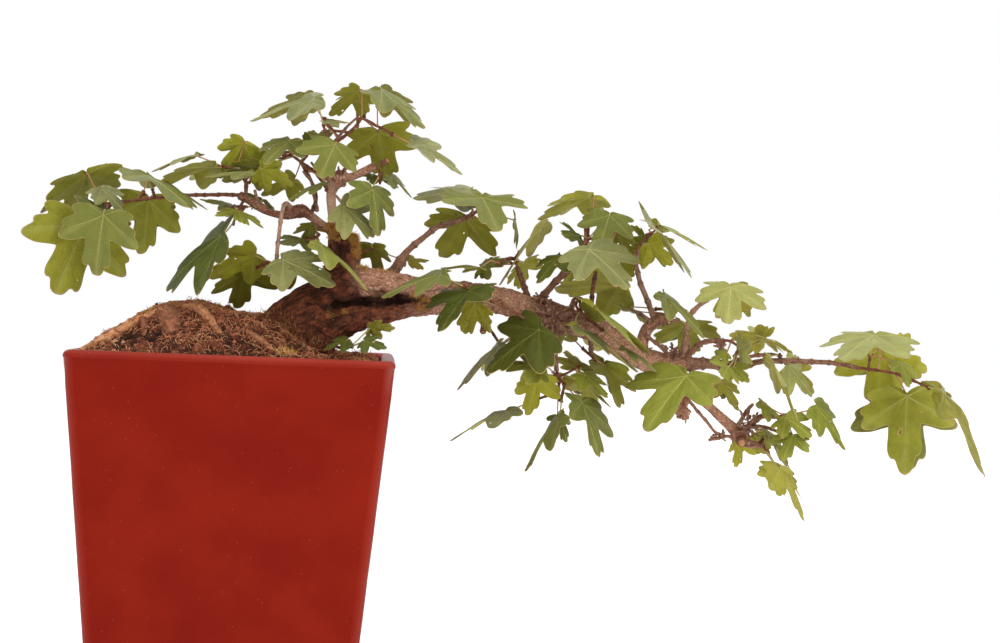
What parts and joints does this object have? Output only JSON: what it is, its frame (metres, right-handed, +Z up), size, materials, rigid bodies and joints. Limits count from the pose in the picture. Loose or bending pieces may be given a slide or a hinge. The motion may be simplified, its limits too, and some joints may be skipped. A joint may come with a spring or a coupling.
{
  "type": "field maple bonsai in a pot",
  "caption": "Small potted maple trained as a low cascade: a thick leaning trunk, a long limb reaching right, sparse lobed leaves, in a tall square glazed pot.",
  "frame": {"origin": "middle of the pot's flat underside", "axes": "+Z up, +X along the cascade limb towards its tip, -Y towards the viewer of the tree's front"},
  "size_m": [0.6385, 0.2, 0.4454],
  "materials": {
    "bark": "rough grey-brown bark",
    "leaves": "thin lobed leaves, olive green above and yellow-olive below",
    "red_glaze": "deep red glaze, slightly mottled and pitted, worn paler on the lip and the edges",
    "soil": "brown fibrous earth with moss"
  },
  "bodies": {
    "root": {"drop_twig": "bark", "end_branch": "bark", "foliage_apex": "leaves", "foliage_big_leaf": "leaves", "foliage_end": "leaves", "foliage_foot": "leaves", "foliage_fork": "leaves", "foliage_hanging": "leaves", "foliage_hanging_spur": "leaves", "foliage_inner": "leaves", "foliage_junction": "leaves", "foliage_knot": "leaves", "foliage_left_low": "leaves", "foliage_left_tip": "leaves", "foliage_left_top": "leaves", "foliage_limb_front": "leaves", "foliage_limb_under": "leaves", "foliage_lower_drop": "leaves", "foliage_lower_tip": "leaves", "foliage_rising_far": "leaves", "foliage_rising_near": "leaves", "foliage_second": "leaves", "foliage_short_twig": "leaves", "foliage_stub": "leaves", "foliage_thin_bough": "leaves", "foliage_top_stub": "leaves", "foliage_trunk_left": "leaves", "foliage_trunk_right": "leaves", "foliage_upright": "leaves", "fork_twig": "bark", "hanging_knob": "bark", "hanging_spur": "bark", "hanging_twig": "bark", "inner_twig": "bark", "knot_stub": "bark", "leader": "bark", "leader_stub": "bark", "left_bough": "bark", "limb_inner": "bark", "limb_outer": "bark", "limb_spur": "bark", "lower_branch": "bark", "lower_twig": "bark", "pot": "red_glaze", "rising_twig_far": "bark", "rising_twig_near": "bark", "second_twig": "bark", "short_twig": "bark", "soil": "soil", "stub_branch": "bark", "surface_root": "bark", "thin_bough": "bark", "top_stub": "bark", "trunk": "bark", "under_spur": "bark", "upright_twig": "bark"}
  },
  "joints": []
}
